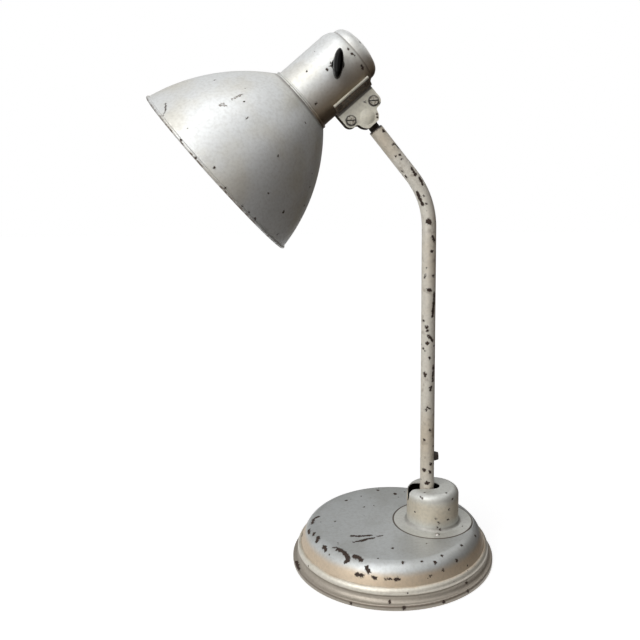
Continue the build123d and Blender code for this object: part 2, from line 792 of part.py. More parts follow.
# Neck housing: drawn tube with a rounded rear shoulder, open for cap, switch and wires
cap_spigot_radius = cap_radius - cap_sheet / 2
neck_mouth = cap_spigot_radius + seat_gap / 2
shoulder_start = neck_end - neck_shoulder
wire_hole = Plane(origin=rim_centre + head_direction * ball_along, x_dir=(0, 1, 0), z_dir=-head_outward)
with BuildPart() as neck_housing:
    with BuildSketch(head_section):
        with BuildLine():
            Line((neck_radius, collar_end), (neck_radius, shoulder_start))
            TangentArc((neck_radius, shoulder_start), (cap_radius, neck_end), tangent=(0, 1))
            Polyline(
                (cap_radius, neck_end),
                (neck_mouth, neck_end),
                (neck_mouth, neck_end - neck_mouth_height),
            )
            TangentArc(
                (neck_inner, shoulder_start),
                (neck_mouth, neck_end - neck_mouth_height),
                tangent=(0, 1),
            )
            Polyline(
                (neck_inner, shoulder_start),
                (neck_inner, collar_end),
                (neck_radius, collar_end),
            )
        make_face()
    revolve(axis=head_axis)
    with BuildSketch(switch_out):
        Circle(switch_bush_radius + seat_gap)
    extrude(amount=2 * neck_radius, mode=Mode.SUBTRACT)
    with BuildSketch(wire_hole):
        Circle(ball_neck_radius)
    extrude(amount=2 * neck_radius, mode=Mode.SUBTRACT)
    for along in wing_rivet_alongs:
        for angle in (-wing_rivet_angle, wing_rivet_angle):
            with BuildSketch(wing_rivet_plane(along, angle)):
                Circle(wing_rivet_radius + running_gap)
            extrude(amount=2 * neck_radius, mode=Mode.SUBTRACT)
save_turned(neck_housing.part, "neck_housing")

# Rear cap: dome with a spigot that sits in the neck
with BuildPart() as rear_cap:
    with BuildSketch(head_section):
        with BuildLine():
            Line((cap_radius, neck_end), (cap_radius, neck_end + cap_wall_height))
            TangentArc(
                (cap_radius, neck_end + cap_wall_height),
                (cap_corner_radius, neck_end + cap_corner_height),
                tangent=(0, 1),
            )
            TangentArc(
                (0, neck_end + cap_height),
                (cap_corner_radius, neck_end + cap_corner_height),
                tangent=(1, 0),
            )
            offset(amount=cap_sheet, side=Side.LEFT)
        make_face()
        with Locations((cap_spigot_radius, neck_end - cap_spigot)):
            Rectangle(cap_sheet, cap_spigot + cap_wall_height, align=(Align.MAX, Align.MIN))
    revolve(axis=head_axis)
save_turned(rear_cap.part, "rear_cap")

# Collar ring: two beads outside, a spigot inside the neck
collar_bead = collar_width / 4
collar_inner = neck_inner - seat_gap / 2 - neck_sheet
with BuildPart() as collar_ring:
    with BuildSketch(head_section):
        with Locations((collar_inner, shade_length)):
            Rectangle(
                collar_radius - collar_bead - collar_inner,
                collar_width,
                align=(Align.MIN, Align.MIN),
            )
        with Locations(
            (collar_radius - collar_bead, shade_length + collar_bead),
            (collar_radius - collar_bead, shade_length + 3 * collar_bead),
        ):
            Circle(collar_bead)
        with Locations((collar_inner, collar_end)):
            Rectangle(neck_sheet, collar_spigot, align=(Align.MIN, Align.MIN))
    revolve(axis=head_axis)
save_turned(collar_ring.part, "collar_ring")

# Shade: spun bell with an inward flange at the top and a rolled rim
with BuildPart() as shade:
    with BuildSketch(head_section):
        with BuildLine():
            bell = ThreePointArc(
                (shade_rim_radius, 0),
                (shade_belly_radius, shade_belly_along),
                (shade_top_radius, shade_length),
            )
            Line(bell @ 1, (holder_sleeve_radius + seat_gap, shade_length))
            offset(amount=shade_sheet, side=Side.LEFT)
        make_face()
        with Locations((shade_rim_radius - shade_sheet / 2, rim_roll)):
            Circle(rim_roll)
    revolve(axis=head_axis)
save_turned(shade.part, "shade")

# Lampholder: moulded body with a threaded sleeve that carries the shade's ring
with BuildPart() as lampholder_body:
    with BuildSketch(head_section):
        with BuildLine():
            Polyline(
                (holder_bore, holder_front),
                (holder_sleeve_radius, holder_front),
                (holder_sleeve_radius, shade_length),
                (holder_body_radius, shade_length),
                (holder_body_radius, holder_rear),
                (nipple_radius + running_gap, holder_rear),
                (nipple_radius + running_gap, holder_rear - nipple_depth),
                (0, holder_rear - nipple_depth),
                (0, holder_rear - holder_floor),
                (holder_bore, holder_rear - holder_floor),
                close=True,
            )
        make_face()
    revolve(axis=head_axis)
    chamfer(lampholder_body.edges().filter_by(GeomType.CIRCLE).sort_by(SortBy.RADIUS)[-1], holder_chamfer)
save_turned(lampholder_body.part, "lampholder_body")

with BuildPart() as holder_ring:
    with BuildSketch(head_section):
        with Locations((holder_sleeve_radius + running_gap, shade_length - shade_sheet)):
            Rectangle(
                ring_radius - holder_sleeve_radius - running_gap,
                ring_thickness,
                align=(Align.MIN, Align.MAX),
            )
    revolve(axis=head_axis)
    fillet(holder_ring.edges().filter_by(GeomType.CIRCLE).sort_by(SortBy.RADIUS)[-2:], ring_round)
save_turned(holder_ring.part, "holder_ring")

with BuildPart() as screw_shell:
    with BuildSketch(across(holder_front + free_gap)):
        Circle(screw_shell_radius)
        Circle(screw_shell_radius - screw_shell_sheet, mode=Mode.SUBTRACT)
    extrude(amount=screw_shell_length)
save_turned(screw_shell.part, "screw_shell")

contact_face = holder_rear - holder_floor - contact_thickness
with BuildPart() as centre_contact:
    with BuildSketch(across(contact_face)):
        Circle(contact_radius)
    extrude(amount=contact_thickness)
save_turned(centre_contact.part, "centre_contact")

# Bridge across the neck, with two tabs along its wall, and the nipple with its nut
bridge_reach = neck_inner - seat_gap / 2
with BuildPart() as holder_bridge:
    with BuildSketch(across(holder_rear)):
        Circle(bridge_reach)
        with Locations(Location((0, 0, 0), (0, 0, bridge_turn))):
            Rectangle(2 * bridge_reach, bridge_width, mode=Mode.INTERSECT)
    extrude(amount=bridge_tab)
    with BuildSketch(across(holder_rear + bridge_sheet)):
        Circle(bridge_reach - bridge_sheet)
    extrude(amount=bridge_tab, mode=Mode.SUBTRACT)
    with BuildSketch(across(holder_rear)):
        Circle(nipple_radius + running_gap)
    extrude(amount=bridge_tab, mode=Mode.SUBTRACT)
save_turned(holder_bridge.part, "holder_bridge")

nipple_length = nipple_depth + bridge_sheet + nipple_nut_thickness + thread_end
with BuildPart() as holder_nipple:
    with BuildSketch(across(holder_rear - nipple_depth)):
        Circle(nipple_radius)
        Circle(nipple_bore, mode=Mode.SUBTRACT)
    extrude(amount=nipple_length)
save_turned(holder_nipple.part, "holder_nipple")

with BuildPart() as nipple_nut:
    with BuildSketch(across(holder_rear + bridge_sheet)):
        RegularPolygon(nipple_nut_width / 2, 6, major_radius=False)
        Circle(nipple_radius + running_gap, mode=Mode.SUBTRACT)
    extrude(amount=nipple_nut_thickness)
save_turned(nipple_nut.part, "nipple_nut")

# Bulb: glass, screw cap and tip, seated on the centre contact
bulb_front = contact_face - bulb_length
bulb_cap_rear = contact_face - bulb_tip_height
bulb_cap_front = bulb_cap_rear - bulb_cap_length
globe_centre = bulb_front + bulb_radius
globe_side = (
    bulb_radius * cos(radians(globe_blend_angle)),
    globe_centre + bulb_radius * sin(radians(globe_blend_angle)),
)
with BuildPart() as bulb_glass:
    with BuildSketch(head_section):
        with BuildLine():
            RadiusArc((0, bulb_front), (bulb_radius, globe_centre), -bulb_radius)
            RadiusArc((bulb_radius, globe_centre), globe_side, -bulb_radius)
            TangentArc(
                (bulb_neck_radius, bulb_cap_front - free_gap),
                globe_side,
                tangent=(0, -1),
            )
            Line(
                (bulb_neck_radius, bulb_cap_front - free_gap),
                (bulb_neck_radius, bulb_cap_front),
            )
            offset(amount=glass_wall, side=Side.LEFT)
        make_face()
    revolve(axis=head_axis)
save_turned(bulb_glass.part, "bulb_glass")

with BuildPart() as bulb_cap:
    with BuildSketch(head_section):
        with BuildLine():
            Polyline(
                (0, bulb_cap_front),
                (bulb_cap_radius, bulb_cap_front),
                (bulb_cap_radius, bulb_cap_rear - bulb_tip_height),
                (bulb_tip_radius, bulb_cap_rear),
                (0, bulb_cap_rear),
                close=True,
            )
        make_face()
    revolve(axis=head_axis)
save_turned(bulb_cap.part, "bulb_cap")

with BuildPart() as bulb_tip:
    with BuildSketch(across(bulb_cap_rear)):
        Circle(bulb_tip_radius)
    extrude(amount=bulb_tip_height, taper=bulb_tip_taper)
save_turned(bulb_tip.part, "bulb_tip")

# Rotary switch: body inside the neck, bush and nut through its wall
switch_face = sqrt(neck_inner**2 - (switch_body_width / 2) ** 2) - seat_gap
switch_back = switch_face - switch_body_depth
spindle_start = switch_back + spindle_floor
nut_top = neck_radius + running_gap + switch_nut_thickness
knob_bottom = nut_top + switch_bush_stand + seat_gap
with BuildPart() as switch_body:
    with BuildSketch(switch_out.offset(switch_back)):
        RectangleRounded(switch_body_width, switch_body_width, switch_body_corner)
    extrude(amount=switch_body_depth)
    with BuildSketch(switch_out.offset(spindle_start)):
        Circle(spindle_radius + running_gap)
    extrude(amount=switch_body_depth, mode=Mode.SUBTRACT)
save_turned(switch_body.part, "switch_body")

with BuildPart() as switch_bush:
    with BuildSketch(switch_out.offset(switch_face)):
        Circle(switch_bush_radius)
        Circle(spindle_radius + running_gap, mode=Mode.SUBTRACT)
    extrude(amount=nut_top + switch_bush_stand - switch_face)
save_turned(switch_bush.part, "switch_bush")

with BuildPart() as switch_nut:
    with BuildSketch(switch_out.offset(neck_radius + running_gap)):
        Circle(switch_nut_radius)
        Circle(switch_bush_radius + running_gap, mode=Mode.SUBTRACT)
    extrude(amount=switch_nut_thickness)
save_turned(switch_nut.part, "switch_nut")

with BuildPart() as switch_spindle:
    with BuildSketch(switch_out.offset(spindle_start + seat_gap)):
        Circle(spindle_radius)
    extrude(amount=knob_bottom + spindle_grip - spindle_start - seat_gap)
save_turned(switch_spindle.part, "switch_spindle")

# Wing knob: round foot and an oval wing that thins towards its top
knob_plane = Plane(
    origin=switch_centre + Vector(0, -knob_bottom, 0),
    x_dir=head_direction * cos(radians(knob_turn)) + head_outward * sin(radians(knob_turn)),
    z_dir=(0, -1, 0),
)
knob_sections = (
    (knob_base_height, 0),
    (knob_flank_height, knob_flank_inset),
    (knob_crown_height, knob_crown_inset),
    (knob_height, knob_top_inset),
)
with BuildPart() as switch_knob:
    with BuildSketch(knob_plane):
        Circle(knob_base_radius)
    extrude(amount=knob_base_height)
    for height, inset in knob_sections:
        with BuildSketch(knob_plane.offset(height)):
            Ellipse(knob_length / 2 - inset, knob_width / 2 - inset)
    loft()
    with BuildSketch(knob_plane):
        Circle(spindle_radius + running_gap)
    extrude(amount=spindle_grip + running_gap, mode=Mode.SUBTRACT)
save_turned(switch_knob.part, "switch_knob")
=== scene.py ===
# %% [markdown]
# # A worn metal desk lamp
# The measured model of the lamp comes in as a fixed frame. Everything that is added
# here is in metres and in the same place as that frame, so a piece needs no fitting.

# %% Load the frame
import json
from math import cos, radians, sin

import bmesh
import bpy
from mathutils import Euler, Matrix, Quaternion, Vector


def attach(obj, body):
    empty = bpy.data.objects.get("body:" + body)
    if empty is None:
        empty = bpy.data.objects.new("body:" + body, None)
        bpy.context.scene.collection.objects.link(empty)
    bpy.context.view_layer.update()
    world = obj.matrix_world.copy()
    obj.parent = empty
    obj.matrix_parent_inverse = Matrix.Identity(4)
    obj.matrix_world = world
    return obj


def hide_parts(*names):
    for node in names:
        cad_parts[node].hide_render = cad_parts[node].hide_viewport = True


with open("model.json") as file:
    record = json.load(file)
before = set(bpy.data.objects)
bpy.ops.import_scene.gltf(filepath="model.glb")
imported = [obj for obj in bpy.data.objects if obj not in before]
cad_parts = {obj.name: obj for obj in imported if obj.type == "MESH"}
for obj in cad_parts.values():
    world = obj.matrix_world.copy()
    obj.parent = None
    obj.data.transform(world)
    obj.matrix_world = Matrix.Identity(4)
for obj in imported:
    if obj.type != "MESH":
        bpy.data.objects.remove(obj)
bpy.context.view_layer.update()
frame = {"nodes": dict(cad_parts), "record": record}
nodes = frame["nodes"]
print("pieces in the frame:", len(nodes))

# %% [markdown]
# ## Camera
# The photograph was taken from in front of the arm, a little below the head of the
# lamp, with the camera tipped down by a few degrees. It was cropped afterwards, so the
# lens axis does not pass through the middle of the picture. The camera's shift puts
# the axis back where it was.

# %% The camera
image_size = 640
focal_pixels = 747.5
axis_pixel = (361.0, 260.1)

camera_data = bpy.data.cameras.new("camera")
camera_data.sensor_width = 36.0
camera_data.lens = focal_pixels * camera_data.sensor_width / image_size
camera_data.shift_x = (image_size / 2 - axis_pixel[0]) / image_size
camera_data.shift_y = (axis_pixel[1] - image_size / 2) / image_size
camera = bpy.data.objects.new("camera", camera_data)
bpy.context.scene.collection.objects.link(camera)
bpy.context.scene.camera = camera
camera.location = (-0.0629, -0.6391, 0.3547)
looking = Euler((radians(90 - 7.51), 0, radians(-3.16))).to_quaternion()
camera.rotation_mode = "QUATERNION"
camera.rotation_quaternion = looking @ Quaternion((0, 0, 1), radians(-0.21))
print("lens in mm:", round(camera_data.lens, 2))

# %% [markdown]
# ## Shader maths
# A finish is easier to read as sums and products than as a list of nodes and links. One
# small class wraps a socket, so that ordinary operators on it add the Math nodes. Every
# other node comes from one method, which takes the node's type, its settings and the
# values or links of its sockets.


# %% Values and finishes
class Value:
    """A socket of a finish. Sums and products of it become Math nodes."""

    def __init__(self, finish, socket):
        self.finish = finish
        self.socket = socket

    def __add__(self, other):
        return self.finish.math("ADD", self, other)

    def __sub__(self, other):
        return self.finish.math("SUBTRACT", self, other)

    def __rsub__(self, other):
        return self.finish.math("SUBTRACT", other, self)

    def __mul__(self, other):
        return self.finish.math("MULTIPLY", self, other)

    __radd__ = __add__
    __rmul__ = __mul__

    def higher(self, other):
        return self.finish.math("MAXIMUM", self, other)

    def lower(self, other):
        return self.finish.math("MINIMUM", self, other)

    def output(self, name):
        """Another output of the node that this value comes from."""
        return Value(self.finish, self.socket.node.outputs[name])


class Finish:
    """The node tree of one material, with the place on the lamp in metres."""

    def __init__(self, data):
        data.use_nodes = True
        self.data = data
        self.tree = data.node_tree
        self.tree.nodes.clear()
        self.place = self.node("ShaderNodeTexCoord", output="Object")

    def node(self, kind, settings=None, sockets=None, output=0):
        made = self.tree.nodes.new(kind)
        for name, setting in (settings or {}).items():
            setattr(made, name, setting)
        for name, value in (sockets or {}).items():
            if isinstance(value, Value):
                self.tree.links.new(value.socket, made.inputs[name])
            else:
                made.inputs[name].default_value = value
        if made.outputs:
            return Value(self, made.outputs[output])

    def math(self, operation, *terms):
        return self.node("ShaderNodeMath", {"operation": operation}, dict(enumerate(terms)))

    def mix(self, factor, first, second):
        """Colour that goes from the first to the second as the factor goes from 0 to 1."""
        sockets = {0: factor, 6: first, 7: second}
        return self.node("ShaderNodeMix", {"data_type": "RGBA"}, sockets, 2)

    def vector(self, operation, *terms, output="Vector"):
        settings = {"operation": operation}
        return self.node("ShaderNodeVectorMath", settings, dict(enumerate(terms)), output)

    def dot(self, first, second):
        return self.vector("DOT_PRODUCT", first, second, output="Value")

    def fade(self, value, start, end):
        """0 before the start, 1 after the end, and soft between them."""
        return self.node(
            "ShaderNodeMapRange",
            {"interpolation_type": "SMOOTHSTEP"},
            {"Value": value, "From Min": start, "From Max": end},
        )

    def noise(self, scale, detail=3.0, output=0):
        sockets = {"Vector": self.place, "Scale": scale, "Detail": detail}
        return self.node("ShaderNodeTexNoise", None, sockets, output)

    def bump(self, height, strength, distance):
        sockets = {"Height": height, "Strength": strength, "Distance": distance}
        return self.node("ShaderNodeBump", None, sockets, "Normal")

    def surface(self, sockets):
        """End the finish with one Principled shader that has these sockets."""
        self.show(self.node("ShaderNodeBsdfPrincipled", None, sockets), "ShaderNodeOutputMaterial")
        return self.data

    def show(self, shader, kind):
        self.node(kind, None, {"Surface": shader})


def new_finish(name):
    return Finish(bpy.data.materials.new(name))


def plain(red, green, blue):
    """A colour as a screen shows it, from 0 to 255, turned into light values."""
    return tuple((part / 255) ** 2.2 for part in (red, green, blue)) + (1,)


# %% [markdown]
# ## Room
# The lamp stands in a white studio. One large soft light stands low on the left in front
# of it, which gives the round forms their long change from light to dark, and weak warm
# ones on the right and behind it keep the dark side readable. The camera, and whatever
# metal or glass reflects, sees the world and the floor as white, while the light on the
# lamp stays at a plain level. The floor's own white is a glow for those rays alone, a
# little less of it close to the lamp, so that the lamp's shadow shows there.


# %% Floor, lamps and world
def area_lamp(name, place, size, power, colour=(1, 1, 1)):
    data = bpy.data.lights.new(name, "AREA")
    data.shape = "SQUARE"
    data.size = size
    data.energy = power
    data.color = colour
    lamp = bpy.data.objects.new(name, data)
    lamp.location = place
    lamp.rotation_mode = "QUATERNION"
    lamp.rotation_quaternion = (Vector((-0.03, 0, 0.25)) - lamp.location).to_track_quat("-Z", "Y")
    bpy.context.scene.collection.objects.link(lamp)


def seen_rays(finish):
    """1 for rays from the camera and for those that a reflection or glass passes on."""
    rays = finish.node("ShaderNodeLightPath", output="Is Camera Ray")
    return rays.higher(rays.output("Is Glossy Ray")).higher(rays.output("Is Transmission Ray"))


area_lamp("key", (-0.92, -1.06, 1.05), 1.2, 15.3)
area_lamp("top", (-0.2, -0.45, 1.75), 1.0, 5.9)
area_lamp("fill", (1.2, -0.7, 0.5), 1.0, 0.6, (1.0, 0.86, 0.72))
area_lamp("back", (0.5, 1.2, 1.1), 0.9, 2)

world_light = 0.06
world = bpy.data.worlds.new("studio")
bpy.context.scene.world = world
bpy.context.scene.view_settings.view_transform = "Standard"
sky = Finish(world)
strength = world_light + seen_rays(sky) * (1 - world_light)
sky.show(
    sky.node("ShaderNodeBackground", None, {"Color": (1, 1, 1, 1), "Strength": strength}),
    "ShaderNodeOutputWorld",
)

bpy.ops.mesh.primitive_plane_add(size=6.0, location=(0, 0, 0))
floor = bpy.context.active_object
floor.name = "floor"
paper = new_finish("floor_paper")
distance = paper.vector("LENGTH", paper.place, output="Value")
white = paper.fade(distance, 0.15, 1.0) * 0.14 + 0.84
diffuse = paper.node("ShaderNodeBsdfDiffuse", None, {"Color": (0.4, 0.4, 0.4, 1)})
glow = {"Color": (1, 1, 1, 1), "Strength": white * seen_rays(paper)}
glow = paper.node("ShaderNodeEmission", None, glow)
paper.show(
    paper.node("ShaderNodeAddShader", None, {0: diffuse, 1: glow}), "ShaderNodeOutputMaterial"
)
floor.data.materials.append(paper.data)
print("world light:", world_light)

# %% [markdown]
# ## Cards
# Lacquer with metal dust mirrors the room softly, and in an all white room it would look
# flat. A photographer of metal puts grey and brown cards beside it, outside the picture,
# and so does this scene. Only reflections meet the cards: no camera sees them, and they
# take no light from the lamp.


# %% Cards for the reflections
def card(name, place, towards, width, height, colour):
    bpy.ops.mesh.primitive_plane_add(size=1.0, location=place)
    made = bpy.context.active_object
    made.name = name
    made.rotation_mode = "QUATERNION"
    made.rotation_quaternion = (Vector(towards) - Vector(place)).to_track_quat("Z", "Y")
    made.scale = (width, height, 1)
    made.visible_camera = made.visible_diffuse = made.visible_shadow = False
    paint = new_finish(name)
    light = paint.node("ShaderNodeEmission", None, {"Color": colour})
    paint.show(light, "ShaderNodeOutputMaterial")
    made.data.materials.append(paint.data)


card("right_card", (0.46, -0.15, 0.43), (-0.37, -0.15, 1.11), 1.8, 1.1, plain(62, 52, 44))
card("rear_card", (0.0, 1.1, 0.5), (0, 0, 0.3), 2.4, 1.0, plain(140, 140, 138))
card("front_card", (-0.1, -1.3, 0.15), (0, 0, 0.1), 2.0, 0.5, plain(170, 146, 118))

# %% [markdown]
# ## Chips
# The lacquer on this lamp is decades old, and dark primer shows where it has come off.
# On the side that the photograph shows, the large chips are about where the real ones
# are. Each is a short line on the surface with a width, given by its two ends and its
# radius in metres. The distance to the nearest line is worked out in the finish, with a
# soft join where two lines meet, and noise then makes the outline ragged. The many fine
# specks come from a cell pattern, in which only a few cells hold one. A coarser pattern
# of the same kind stands in for the large chips on the far side, which can't be seen.


# %% Long chips and fine specks
soft_join = 0.0006
middle_grey = (0.5, 0.5, 0.5)


def distance_to_line(finish, place, start, end):
    run = Vector(end) - Vector(start)
    from_start = finish.vector("SUBTRACT", place, start)
    if run.length == 0:
        return finish.vector("LENGTH", from_start, output="Value")
    share = finish.dot(from_start, tuple(run / run.length_squared))
    share = share.higher(0).lower(1)
    nearest = finish.node(
        "ShaderNodeVectorMath", {"operation": "SCALE"}, {0: tuple(run), "Scale": share}
    )
    return finish.vector("DISTANCE", from_start, nearest, output="Value")


def distance_to_marks(finish, marks, ragged=0.0008, wider=0.0):
    """Distance to the edge of the nearest mark, uneven by the ragged amount."""
    push = finish.vector("SUBTRACT", finish.noise(600, 5.0, "Color"), middle_grey)
    push = finish.vector("MULTIPLY", push, (5 * ragged,) * 3)
    place = finish.vector("ADD", finish.place, push)
    nearest = None
    for start, end, radius in marks:
        away = distance_to_line(finish, place, start, end) - (radius + wider)
        if nearest is not None:
            away = finish.math("SMOOTH_MIN", nearest, away, soft_join)
        nearest = away
    return nearest


def specks(finish, cell, share, largest):
    """1 inside small chips. The share is how many of the cells hold one."""
    push = finish.vector("SUBTRACT", finish.noise(0.9 / cell, 2.0, "Color"), middle_grey)
    push = finish.vector("MULTIPLY", push, (cell * 0.8,) * 3)
    place = finish.vector("ADD", finish.place, push)
    sockets = {"Vector": place, "Scale": 1 / cell}
    cells = finish.node("ShaderNodeTexVoronoi", None, sockets, "Distance")
    chance = finish.node("ShaderNodeSeparateColor", None, {0: cells.output("Color")})
    size = finish.fade(chance, 1 - share, 1.0) * (largest / cell)
    return finish.fade(size - cells.output("Distance"), 0.0, 0.05)


# %% [markdown]
# ## Worn lacquer
# Most of the lamp is steel under an old lacquer with fine metal dust in it. The finish
# is built up as the real one aged. Broad clouds of a second, yellowed tone come first,
# then a mottle and a grain, dirt together with painted light and shade, and last the chips,
# which are rougher, darker and a little sunk. The bump node turns that step in height into an edge.

# %% The lacquer
primer = plain(44, 33, 27)
# Dark colour for grime, and also for painted shade in creases and along edges.
grime_and_shade = plain(78, 62, 46)
speck_cell, speck_size = 0.0036, 0.0010
far_cell, far_size = 0.008, 0.0028


def lacquer(
    name, tones, marks=(), dirt_and_painted_light=None, speck_share=0.1, metal=0.5, shine=0.4, wider=0.0002
):
    """Aged lacquer. The marks are widened a little, and the dirt and painted light go on under
    them.
    """
    finish = new_finish(name)
    fresh, aged = tones(finish) if callable(tones) else tones
    cloud = finish.fade(finish.noise(22, 3.0), 0.40, 0.68)
    mottle = finish.noise(420, 4.0)
    grain = finish.noise(2400, 2.0)
    colour = finish.mix(cloud, fresh, aged)
    colour = finish.mix(finish.fade(mottle, 0.35, 0.75) * 0.16, colour, plain(120, 112, 98))
    colour = finish.mix(finish.fade(grain, 0.55, 0.8) * 0.2, colour, plain(236, 234, 228))
    # Each piece's own dirt, painted shade, painted highlights and painted reflections.
    if dirt_and_painted_light:
        colour = dirt_and_painted_light(finish, colour)
    bare = specks(finish, speck_cell, speck_share, speck_size)
    behind = finish.fade(finish.dot(finish.place, (0, 1, 0)), 0.001, 0.005)
    bare = bare.higher(specks(finish, far_cell, 2 * speck_share, far_size) * behind)
    worn = bare
    if marks:
        away = distance_to_marks(finish, marks, wider=wider)
        bare = bare.higher(finish.fade(away, 0.00010, -0.00010))
        worn = bare.higher(finish.fade(away, 0.0008, 0.0) * 0.35)
    rust = finish.mix(finish.fade(grain, 0.45, 0.7), primer, plain(76, 56, 42))
    colour = finish.mix(worn, colour, rust)
    return finish.surface({
        "Base Color": colour,
        "Metallic": metal - metal * bare if metal else 0.0,
        "Roughness": shine + 0.12 * mottle + 0.3 * bare,
        "Normal": finish.bump(0.25 * mottle + 0.15 * grain - 2.0 * bare, 0.3, 0.00025),
    })


# %% [markdown]
# ### Where the coat is gone
# A mark is written as the photograph shows it: where its two ends lie, in columns and
# rows of the picture, and how wide it is, all in pixels. A line of sight from the camera
# through each end runs on until it meets the lamp, which gives the place in metres. So
# nobody has to work out by hand where on a curved piece a mark lies.

# %% From the picture to the lamp
lamp_pieces = {piece.name for piece in nodes.values()}
solid_scene = bpy.context.evaluated_depsgraph_get()


def on_lamp(column, row):
    """Place where the line of sight through a pixel meets the lamp, and how far off it is."""
    across = (column - axis_pixel[0]) / focal_pixels
    down = (row - axis_pixel[1]) / focal_pixels
    sight = camera.rotation_quaternion @ Vector((across, -down, -1)).normalized()
    found = bpy.context.scene.ray_cast(solid_scene, camera.location, sight)
    met, place, piece = found[0], found[1], found[4]
    if not met or piece.name not in lamp_pieces:
        raise ValueError(f"the lamp is not behind column {column}, row {row}")
    return tuple(place), (place - camera.location).length


def lines(*rows):
    """Marks from their two ends and width in pixels, as ends and radius in metres."""
    marks = []
    for start, end, width in rows:
        place, away = on_lamp(*start)
        marks.append((place, on_lamp(*end)[0], width / 2 * away / focal_pixels))
    return marks


def dots(*rows):
    """Round marks, each from its column, row and width."""
    return lines(*(((column, row), (column, row), width) for column, row, width in rows))


# %% Marks on the base and hood
deck_scratches = lines(
    ((351.5, 535.8), (359, 536.3), 1.9),
    ((359, 536.3), (371, 535.3), 1.5),
    ((353.5, 542), (361, 541), 1.0),
    ((361, 541), (366, 539.4), 2.8),
    ((366, 539.4), (374, 538), 1.3),
    ((378, 536.3), (382, 535.5), 1.3),
)
left_edge_chips = lines(
    ((313.3, 519.5), (312.3, 523.3), 2.0),
    ((314.5, 518.4), (318.5, 516.5), 1.4),
    ((308.8, 530), (309.2, 533), 2.2),
    ((314.2, 533), (313.6, 535), 1.6),
    ((318, 537), (318, 539.6), 2.6),
    ((318, 539.6), (316.5, 541.5), 1.8),
    ((324, 546.5), (326, 550), 2.8),
)
front_edge_chips = lines(
    ((333, 547.7), (337, 547.5), 1.0),
    ((338, 549.3), (343, 551.3), 3.2),
    ((343, 551.3), (347.5, 556.5), 3.0),
    ((347.5, 556.5), (348, 560), 2.8),
    ((345, 562), (348, 561), 1.8),
    ((354.5, 556), (358.8, 557.6), 3.8),
    ((358.8, 557.6), (361.6, 560.6), 2.4),
    ((366.8, 567.6), (368.6, 571.6), 2.8),
)
sweep_chips = lines(
    ((356.8, 574.5), (362.6, 575.6), 2.2),
    ((373, 577), (376, 578.4), 1.6),
    ((385, 579), (391, 579.3), 0.8),
    ((395, 579.3), (399, 579.5), 1.5),
)
foot_chips = lines(
    ((296.3, 561.5), (297.8, 567), 1.8),
    ((297.8, 567), (299, 569.3), 1.6),
)
deck_dots = dots((364, 507, 1.4), (335, 521.5, 1.2), (377.5, 490, 1.4), (392.5, 548, 1.8))
edge_dots = dots(
    (442, 555.5, 1.8), (403, 562.5, 1.8), (422, 561.5, 1.4), (435, 562.5, 1.8),
    (461.5, 545.5, 1.7), (456.5, 560.5, 2.0), (443, 570, 1.3), (430, 576, 1.4),
)
foot_dots = dots(
    (466.5, 582.5, 2.0), (468, 591.5, 2.0), (475.5, 536, 1.5), (404, 608, 2.1),
    (443.5, 602, 2.0), (351, 603.5, 1.8), (389.5, 602, 1.6), (397, 579, 2.1),
)
base_marks = deck_scratches + left_edge_chips + front_edge_chips + sweep_chips + foot_chips
base_marks += deck_dots + edge_dots + foot_dots
hood_marks = dots(
    (424.5, 492.5, 1.5), (420.5, 497, 1.7), (422.5, 498, 1.7), (449, 509.5, 1.5),
    (448, 519.5, 1.5), (446.5, 493, 1.3), (438.5, 522, 1.3), (439.5, 523.5, 1.5),
    (437.5, 527.5, 1.5), (440, 529.5, 1.5), (452.5, 499, 1.3), (436, 518.5, 1.1),
)

# %% Marks on the stem
bend_chips = lines(
    ((383.3, 130.8), (384, 131.2), 2.2),
    ((392.6, 144.6), (395, 143.9), 0.9),
    ((395, 143.9), (398.3, 147.6), 0.9),
    ((395.8, 156.3), (395.8, 156.3), 1.4),
    ((400, 154.9), (400, 154.9), 1.2),
    ((401.7, 159.3), (401.7, 159.3), 1.4),
    ((411.9, 168.3), (415.6, 175), 1.9),
    ((419.8, 178), (422.8, 184.2), 1.9),
    ((402.2, 171.2), (402.2, 171.2), 1.1),
    ((405.6, 175.8), (406.4, 177), 1.2),
    ((417.4, 192.5), (419.5, 198), 2.2),
    ((419.5, 198), (422.4, 205), 2.4),
    ((423.7, 196.3), (423.7, 196.3), 1.0),
    ((426.2, 203.8), (426.2, 203.8), 1.7),
)
shaft_chips = lines(
    ((428.7, 221.3), (428.7, 222), 4.4),
    ((432.2, 236.7), (434.4, 240.5), 2.0),
    ((432, 251.4), (432, 251.4), 2.0),
    ((425, 274.5), (424.6, 277.5), 1.0),
    ((433.6, 275.6), (433.6, 275.6), 1.5),
    ((428.4, 290), (429.8, 290), 2.6),
    ((434.2, 293), (434.0, 301), 1.8),
    ((434.0, 302), (433.2, 309), 2.4),
    ((433.2, 309), (432.8, 316), 2.2),
    ((423.4, 320.6), (423.4, 320.6), 1.6),
    ((426.3, 326.6), (427, 327.6), 2.0),
    ((427.6, 331), (427.6, 331), 2.0),
    ((429, 335.6), (430.2, 337.6), 2.2),
    ((430.8, 338), (432.8, 341), 1.6),
    ((427.4, 343.2), (427.4, 343.2), 2.8),
    ((423.2, 348), (423.2, 348), 1.5),
    ((425.2, 351), (425.2, 351), 1.2),
    ((429.6, 358), (429.6, 358), 1.7),
    ((433.2, 366), (433.0, 374), 1.3),
    ((433.0, 374), (432.8, 381), 1.6),
    ((424.4, 373), (425.4, 376), 1.9),
    ((430.6, 387.3), (430.6, 389.6), 2.0),
    ((427.4, 407.4), (430, 408.8), 1.0),
)
low_chips = dots(
    (424, 470, 2.8), (431, 464, 1.9), (430, 472, 2.4), (427, 483, 3.0),
    (424, 440, 1.7), (430, 430, 1.5), (426, 410, 1.5),
)
stem_marks = bend_chips + shaft_chips + low_chips

